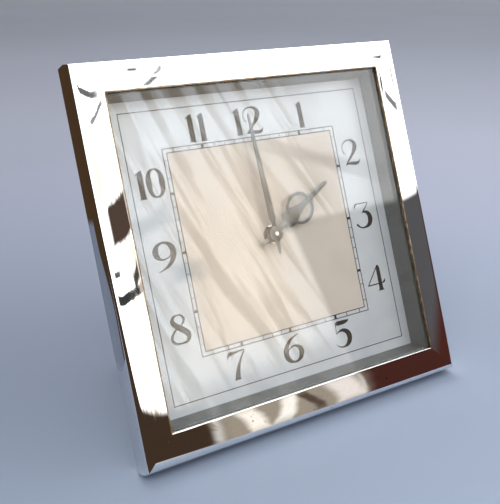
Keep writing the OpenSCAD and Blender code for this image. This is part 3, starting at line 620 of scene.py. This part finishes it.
class MANTEL_OT_hands(ClockPiece, Operator):
    """Minute hand and openwork hour hand"""

    bl_idname = "mantel.hands"
    bl_label = "Hands"

    def hand(self, name, angle, depth, plates, boss, body):
        """Joins flat plates and a turned boss, as (radius, hole), into one hand at an angle."""
        thickness, bevel = 0.4, 0.12
        half = thickness / 2
        place = Matrix.Rotation(angle, 4, "Y") @ Matrix.Translation((0, depth + half, 0))
        bm = bmesh.new()
        for number, outlines in enumerate(plates):
            part = curve_mesh(f"{name}_{number}", plate_curve(name, outlines, thickness, bevel), UPRIGHT)
            bm.from_mesh(part)
            bpy.data.meshes.remove(part)
        radius, hole = boss
        front, back = -half - 0.06, half - 0.02
        turned_ring(bm, [(hole, front), (radius - 0.5, front), (radius - 0.1, 0.04 - half), (radius, 0),
                         (radius, back), (hole, back)])
        add_piece(name, finish_mesh(name, bm, place=CLOCK @ place), body, "hand_grey", [name.replace("_cut", "")])

    def execute(self, context):
        sizes = context.scene.clock_sizes
        # outlines as (distance from the arbor, half width)
        blade = [(-7.3, 0.35), (-6.5, 0.5), (-2, 0.85), (4.6, 0.8), (5.1, 1.05), (5.6, 1.3), (6.6, 1.3),
                 (25, 0.92), (43.4, 0.5), (43.9, 0.2)]
        self.hand("minute_hand_cut", sizes.minute_angle, 5.0, [[mirrored(blade)]], (2.85, 0.73), "hand_arbor")
        ring_at, ring_out, ring_in = 14.9, 5.95, 4.8
        tail = [(-6.5, 0.5), (-5.8, 0.75), (-2, 0.9), (7, 0.95)]
        leaf = [(6.3, 0.9), (6.5, 1.9), (7.0, 2.8), (7.7, 3.2), (8.6, 3.25), (10.0, 3.1)]
        spear = [(7.6, 3.0), (9.6, 3.0), (11.5, 2.75), (13.5, 1.9), (15.5, 1.25), (17.5, 0.98), (20.2, 0.9),
                 (20.7, 1.35), (21.3, 1.35), (21.8, 0.85), (30.2, 0.7), (30.8, 0.3)]
        self.hand("hour_hand_cut", sizes.hour_angle, 6.3, [
            [mirrored(tail)],
            [mirrored(leaf)],
            [circle_of(ring_out, ring_at), circle_of(ring_in, ring_at)],
            [mirrored(spear)]], (3.0, 1.87), "hour_body")
        return {"FINISHED"}


class MANTEL_OT_stage(ClockPiece, Operator):
    """Pale floor, soft studio light, surroundings and camera"""

    bl_idname = "mantel.stage"
    bl_label = "Stage, light and camera"

    def execute(self, context):
        scene = context.scene
        self.floor(scene)
        self.lamps(scene)
        self.surroundings(scene)
        self.camera(scene)
        scene.view_settings.view_transform = "Standard"
        return {"FINISHED"}

    def camera(self, scene):
        data = bpy.data.cameras.new("clock_camera")
        # focal length and optical centre, on the scale of a render that is wide by long_side
        focal, centre_x, centre_y = 747.98, 225.47, 224.65
        wide, long_side = 500, 504
        data.sensor_width = 36
        data.lens = focal * data.sensor_width / long_side
        data.shift_x = (wide / 2 - centre_x) / long_side
        data.shift_y = (centre_y - long_side / 2) / long_side
        data.clip_start = 0.01
        camera = bpy.data.objects.new("clock_camera", data)
        look_down, look_right = 20.24, 29.63
        camera.location = CLOCK @ Vector((-138.5, -223.3, 6.17))
        camera.rotation_euler = (math.radians(90 - look_down), 0, math.radians(-look_right))
        scene.collection.objects.link(camera)
        scene.camera = camera

    def floor(self, scene):
        size = scene.clock_sizes.floor_size
        bm = bmesh.new()
        bmesh.ops.create_grid(bm, x_segments=1, y_segments=1, size=size / 2)
        mesh = bpy.data.meshes.new("floor")
        bm.to_mesh(mesh)
        bm.free()
        floor = bpy.data.objects.new("floor", mesh)
        scene.collection.objects.link(floor)
        mesh.materials.append(self.floor_material())

    # Level directions away from the camera's place and across them, and the floor's colour by distance in metres
    # along the first, which is painted light and shade: darker where the clock stands, lightest some 0.2 to 0.3 m past
    # it, and darker again far back
    AHEAD, ACROSS = (0.494, 0.869, 0), (0.869, -0.494, 0)
    FLOOR_LIGHT_AND_SHADE = (
        (-0.066, (0.39, 0.46, 0.58)), (-0.017, (0.352, 0.408, 0.513)), (0.03, (0.348, 0.401, 0.505)),
        (0.09, (0.398, 0.45, 0.567)), (0.18, (0.451, 0.487, 0.611)), (0.32, (0.466, 0.49, 0.594)),
        (0.57, (0.384, 0.402, 0.48)), (0.78, (0.333, 0.351, 0.422)), (1.15, (0.288, 0.306, 0.36)),
        (2.0, (0.26, 0.277, 0.324)))

    def floor_material(self):
        material = bpy.data.materials.new("pale_floor")
        material.use_nodes = True
        tree = material.node_tree
        shader = tree.nodes["Principled BSDF"]
        shader.inputs["Specular IOR Level"].default_value = 0.1
        place = node(tree, "ShaderNodeTexCoord").outputs["Object"]
        distance, aside = (
            node(tree, "ShaderNodeVectorMath", {0: place, 1: way}, operation="DOT_PRODUCT").outputs["Value"]
            for way in (self.AHEAD, self.ACROSS))
        near, far = -0.07, 2.0
        # painted light and shade on the floor, lighter and darker by distance along the way ahead
        painted_floor_light = node(tree, "ShaderNodeValToRGB", {0: ramp(tree, distance, near, far, smooth=False)})
        painted_floor_light.color_ramp.interpolation = "B_SPLINE"
        stops = painted_floor_light.color_ramp.elements
        while len(stops) < len(self.FLOOR_LIGHT_AND_SHADE):
            stops.new(0.5)
        for stop, (stop_at, tint) in zip(stops, self.FLOOR_LIGHT_AND_SHADE):
            stop.position = (stop_at - near) / (far - near)
            stop.color = (*tint, 1)
        # painted shade: darker to the left of the way ahead and lighter to its right, times a faint random mottle
        turn = math_node(tree, "DIVIDE", aside, math_node(tree, "ADD", distance, 0.35))
        painted_side_shade = ramp(tree, turn, -0.32, 0.32, 0.84, 1.10)
        mottle = node(tree, "ShaderNodeTexNoise", {"Vector": place, "Scale": 3.0, "Detail": 3.0})
        tone = math_node(tree, "MULTIPLY", painted_side_shade, ramp(tree, mottle.outputs[0], 0.3, 0.7, 0.98, 1.02))
        link(tree, shaded(tree, painted_floor_light.outputs[0], tone), shader.inputs["Base Color"])
        shader.inputs["Roughness"].default_value = 0.8
        # the chrome doesn't mirror the floor past its front edge and behind the clock on the left, where the
        # surroundings show instead
        path = node(tree, "ShaderNodeLightPath")
        sides = node(tree, "ShaderNodeSeparateXYZ", {0: place}).outputs
        front_slope = -0.336
        front_edge = math_node(tree, "MULTIPLY_ADD", sides[0], front_slope, sides[1])
        behind_left = math_node(tree, "MULTIPLY", fall(tree, sides[0], -0.087, -0.083),
                                ramp(tree, sides[1], 0.028, 0.032))
        off_sheet = math_node(tree, "MAXIMUM", fall(tree, front_edge, -0.090, -0.084), behind_left)
        gone = math_node(tree, "MULTIPLY", off_sheet, path.outputs["Is Glossy Ray"])
        link(tree, math_node(tree, "SUBTRACT", 1.0, gone), shader.inputs["Alpha"])
        return material

    def lamps(self, scene):
        """Soft boxes that light the clock but aren't mirrored in it, all turned towards its middle."""
        middle = Vector((0, 0, 0.06))
        for name, place, size, power in (
                ("key_softbox", (-0.5, -0.5, 0.9), 0.7, 3.4),
                ("fill_softbox", (0.7, -0.3, 0.7), 0.6, 1.4),
                ("rear_softbox", (0.2, 0.8, 0.8), 0.8, 2.2)):
            data = bpy.data.lights.new(name, "AREA")
            data.size = size
            data.energy = power
            lamp = bpy.data.objects.new(name, data)
            lamp.location = place
            lamp.rotation_euler = (middle - lamp.location).to_track_quat("-Z", "Y").to_euler()
            lamp.visible_glossy = False
            scene.collection.objects.link(lamp)

    # What the chrome and the glass mirror, by direction: azimuth from straight ahead of the dial towards the
    # right and height above the horizon, in degrees. Each patch is (azimuth, height, half width, half height,
    # turn, softness, colour). The warm one lies under the veil, PATCHES over it, LOW_PATCHES over the dark room
    WARM_PATCHES = ((29, 17, 6.0, 9.0, -12, 0.9, (5.2, 4.5, 3.6)),)
    PATCHES = (
        (-80, 18, 25, 40, 0, 0.30, (0.9, 0.86, 0.80)),
        (24, 22.6, 2.2, 0.9, 10, 0.9, (1.0, 1.04, 1.04)),
        (25.5, 18.2, 1.8, 0.9, -10, 0.9, (1.1, 1.1, 1.1)),
        (15.6, 24.4, 7.2, 1.75, -1, 0.25, (0.10, 0.065, 0.05)),
        (10, 26.6, 7.5, 0.75, 12, 0.3, (3.6, 3.6, 3.6)),
        (8.5, 18.9, 13.5, 0.42, -2, 0.3, (0.05, 0.055, 0.05)),
        (18.6, 19.6, 2.6, 0.75, 10, 0.5, (0.08, 0.08, 0.07)),
        (7.0, 20.9, 3.0, 0.28, 0, 0.4, (0.15, 0.15, 0.15)),
        (29.7, 35.9, 3.0, 0.42, 57, 0.4, (0.10, 0.10, 0.10)),
        (33.0, 41.0, 3.3, 0.34, 52, 0.5, (0.14, 0.14, 0.14)),
        (37.2, 44.6, 2.8, 0.5, 25, 0.6, (0.4, 0.4, 0.4)),
        (31.2, 42.9, 0.7, 1.2, -30, 0.6, (0.25, 0.25, 0.25)),
        (6.8, 35.0, 14.8, 0.32, -6.5, 0.4, (0.2, 0.2, 0.2)),
        (15, 32.6, 6.5, 0.22, 3, 0.4, (0.4, 0.4, 0.4)),
        (49.5, 30.4, 1.2, 1.6, 0, 0.6, (0.2, 0.2, 0.2)),
        (48.2, 24.4, 1.2, 0.9, 30, 0.6, (0.12, 0.12, 0.12)),
        (53.3, 21.4, 5.9, 0.42, -25, 0.5, (0.3, 0.3, 0.3)),
        (58.8, 21.5, 1.2, 0.6, 60, 0.5, (0.25, 0.25, 0.25)),
        (38.5, 22.3, 5.5, 0.7, -38, 0.9, (0.9, 0.9, 0.9)),
    )
    LOW_PATCHES = (
        (29, 0.5, 6.2, 9.5, 0, 0.25, (0.42, 0.36, 0.28)),
        (26, 0.5, 0.9, 9.0, 4, 0.7, (1.3, 1.2, 1.05)),
        (28.7, 1.0, 0.8, 8.5, -5, 0.7, (1.3, 1.22, 1.1)),
        (33.3, 0.5, 1.3, 8.5, 3, 0.6, (1.1, 1.0, 0.92)),
        (30.6, 0.0, 0.5, 8.0, 6, 0.6, (0.12, 0.08, 0.06)),
        (21.0, -14.5, 6.5, 9.2, -8, 0.06, (0.82, 0.81, 0.80)),
    )

    # Colours of the mirrored room and of the soft dome that lights the clock
    WINDOW_LOW, WINDOW_HIGH = (3.4, 3.4, 3.4), (4.0, 4.0, 4.05)
    BROWN_ROOM, BROWN_FLOOR = (0.060, 0.037, 0.022), (0.20, 0.15, 0.11)
    BLOCK_FOOT, BLOCK_TOP, BLOCK_SIDE = (0.085, 0.024, 0.018), (0.11, 0.11, 0.115), (0.075, 0.024, 0.018)
    WOOD, CLOTH_SHADE, CLOTH = (0.07, 0.04, 0.02), (0.07, 0.074, 0.07), (0.195, 0.23, 0.30)
    DOME_LOW, DOME_HIGH = (0.28, 0.30, 0.34), (0.59, 0.60, 0.62)

    def surroundings(self, scene):
        """A soft dome for light, a plain backdrop for the camera, and a simple room for mirrors."""
        world = bpy.data.worlds.new("surroundings")
        scene.world = world
        world.use_nodes = True
        tree = world.node_tree
        tree.nodes.clear()
        place = node(tree, "ShaderNodeTexCoord").outputs["Generated"]
        axes = node(tree, "ShaderNodeSeparateXYZ", {0: place}).outputs
        to_degrees = 180 / math.pi
        azimuth = math_node(tree, "MULTIPLY", math_node(
            tree, "ARCTAN2", axes[0], math_node(tree, "MULTIPLY", axes[1], -1.0)), to_degrees)
        height = math_node(tree, "MULTIPLY", math_node(tree, "ARCSINE", axes[2]), to_degrees)
        flat = node(tree, "ShaderNodeCombineXYZ", {0: azimuth, 1: height}).outputs[0]
        wave = node(tree, "ShaderNodeTexNoise", {"Vector": flat, "Scale": 0.16, "Detail": 2.0}).outputs["Color"]
        centred = node(tree, "ShaderNodeVectorMath", {0: wave, 1: (0.5, 0.5, 0.5)}, operation="SUBTRACT").outputs[0]
        pushed = node(tree, "ShaderNodeVectorMath", {0: centred, 1: (0.8, 0.5, 0), 2: flat},
                      operation="MULTIPLY_ADD").outputs[0]

        colour = blend_colours(tree, ramp(tree, height, 24, 30), self.WINDOW_LOW, self.WINDOW_HIGH)
        colour = self.patched(tree, colour, pushed, self.WARM_PATCHES)
        # soft diagonal streaks, seen only as a faint veil on the glass
        level = node(tree, "ShaderNodeMapping", {"Vector": flat, "Rotation": (0, 0, math.radians(10)),
                                                 "Scale": (1.1, 11, 1)}, vector_type="TEXTURE").outputs[0]
        streaks = node(tree, "ShaderNodeTexNoise", {"Vector": level, "Scale": 1.0, "Detail": 3.0,
                                                    "Distortion": 0.4})
        veil = ramp(tree, streaks.outputs[0], 0.36, 0.56, 0.42, 1.0)
        veil = math_node(tree, "MAXIMUM", veil, ramp(tree, azimuth, 35, 40))
        tinted = node(tree, "ShaderNodeCombineColor", {0: veil, 1: math_node(tree, "POWER", veil, 1.2),
                                                       2: math_node(tree, "POWER", veil, 1.5)}).outputs[0]
        veiled = blend_colours(tree, 1.0, colour, tinted, "MULTIPLY")
        colour = blend_colours(tree, fall(tree, height, 33, 35), colour, veiled)
        colour = self.patched(tree, colour, pushed, self.PATCHES)
        # brown room below the bright windows on the left, a dark block with a sloping top on the right, and a
        # strip of floor between them
        brown_end, block_side = (22.5, 24.0), (34.2, 34.8)
        tilted = math_node(tree, "MULTIPLY_ADD", math_node(tree, "SUBTRACT", azimuth, 20.0), 0.13, height)
        left_low = math_node(tree, "MULTIPLY", fall(tree, tilted, 8.6, 9.4), fall(tree, azimuth, *brown_end))
        colour = blend_colours(tree, left_low, colour, self.BROWN_ROOM)
        past = math_node(tree, "SUBTRACT", azimuth, 44.0)
        slope = math_node(tree, "MULTIPLY_ADD", past, -0.25, 16.5)
        curve = math_node(tree, "MULTIPLY", math_node(tree, "MULTIPLY", past, past), -0.0022)
        above = math_node(tree, "SUBTRACT", height, math_node(tree, "ADD", slope, curve))
        right_low = math_node(tree, "MULTIPLY", fall(tree, above, -0.35, 0.35), ramp(tree, azimuth, *block_side))
        block_tone = blend_colours(tree, ramp(tree, height, 3, 7), self.BLOCK_FOOT, self.BLOCK_TOP)
        block_tone = blend_colours(tree, fall(tree, azimuth, 39, 43), block_tone, self.BLOCK_SIDE)
        colour = blend_colours(tree, right_low, colour, block_tone)
        under = math_node(tree, "MULTIPLY", fall(tree, height, 5.5, 7.0), ramp(tree, azimuth, *brown_end))
        under = math_node(tree, "MULTIPLY", under, fall(tree, azimuth, *block_side))
        colour = blend_colours(tree, under, colour, self.BROWN_FLOOR)
        colour = self.patched(tree, colour, pushed, self.LOW_PATCHES)
        # behind the clock on the left: a dark wooden edge over a grey-blue cloth
        cloth = blend_colours(tree, ramp(tree, height, -35, -33.5), self.CLOTH_SHADE, self.CLOTH)
        cloth = blend_colours(tree, ramp(tree, height, -20.2, -19.4), cloth, self.WOOD)
        behind = math_node(tree, "MULTIPLY", fall(tree, azimuth, -132, -128), fall(tree, height, 0, 1))
        colour = blend_colours(tree, behind, colour, cloth)

        dome = blend_colours(tree, ramp(tree, height, -10, 60), self.DOME_LOW, self.DOME_HIGH)
        backdrop = scene.clock_colours.backdrop
        path = node(tree, "ShaderNodeLightPath")
        soft, mirrored_room, plain = (node(tree, "ShaderNodeBackground", {"Color": tint}).outputs[0]
                                      for tint in (dome, colour, (*backdrop, 1)))
        seen = node(tree, "ShaderNodeMixShader", {0: path.outputs["Is Glossy Ray"], 1: soft, 2: mirrored_room})
        seen = node(tree, "ShaderNodeMixShader", {0: path.outputs["Is Camera Ray"], 1: seen.outputs[0], 2: plain})
        out = node(tree, "ShaderNodeOutputWorld")
        link(tree, seen.outputs[0], out.inputs["Surface"])
        world.cycles.sampling_method = "NONE"

    def patched(self, tree, colour, place, patches):
        """Lays soft-edged rectangles over a colour."""
        for azimuth, height, half_width, half_height, turn, soft, tint in patches:
            local = node(tree, "ShaderNodeMapping", {
                "Vector": place, "Location": (azimuth, height, 0), "Rotation": (0, 0, math.radians(turn)),
                "Scale": (half_width, half_height, 1)}, vector_type="TEXTURE").outputs[0]
            sides = node(tree, "ShaderNodeSeparateXYZ", {0: local}).outputs
            edge = math_node(tree, "MAXIMUM", math_node(tree, "ABSOLUTE", sides[0]),
                             math_node(tree, "ABSOLUTE", sides[1]))
            colour = blend_colours(tree, fall(tree, edge, 1 - soft, 1 + soft * 0.3), colour, tint)
        return colour


class MANTEL_PT_sidebar(Panel):
    """Lists the clock's settings and builders"""

    bl_idname = "MANTEL_PT_sidebar"
    bl_label = "Mantel clock"
    bl_space_type = "VIEW_3D"
    bl_region_type = "UI"
    bl_category = "Clock"

    def draw(self, context):
        for group in (context.scene.clock_sizes, context.scene.clock_colours):
            for key in group.__annotations__:
                self.layout.prop(group, key)
        for operator in OPERATORS:
            self.layout.operator(operator.bl_idname)


OPERATORS = (MANTEL_OT_stage, MANTEL_OT_finishes, MANTEL_OT_chrome_frame, MANTEL_OT_dial_print,
             MANTEL_OT_numerals, MANTEL_OT_hands)
CLASSES = (ClockSizes, ClockColours, *OPERATORS, MANTEL_PT_sidebar)


def register():
    for made in CLASSES:
        bpy.utils.register_class(made)
    bpy.types.Scene.clock_sizes = PointerProperty(type=ClockSizes)
    bpy.types.Scene.clock_colours = PointerProperty(type=ClockColours)


def unregister():
    del bpy.types.Scene.clock_colours
    del bpy.types.Scene.clock_sizes
    for made in reversed(CLASSES):
        bpy.utils.unregister_class(made)


def main():
    register()
    bpy.ops.mantel.stage()
    bpy.ops.mantel.finishes()
    bpy.ops.mantel.chrome_frame()
    bpy.ops.mantel.dial_print()
    bpy.ops.mantel.numerals()
    bpy.ops.mantel.hands()


if __name__ == "__main__":
    main()
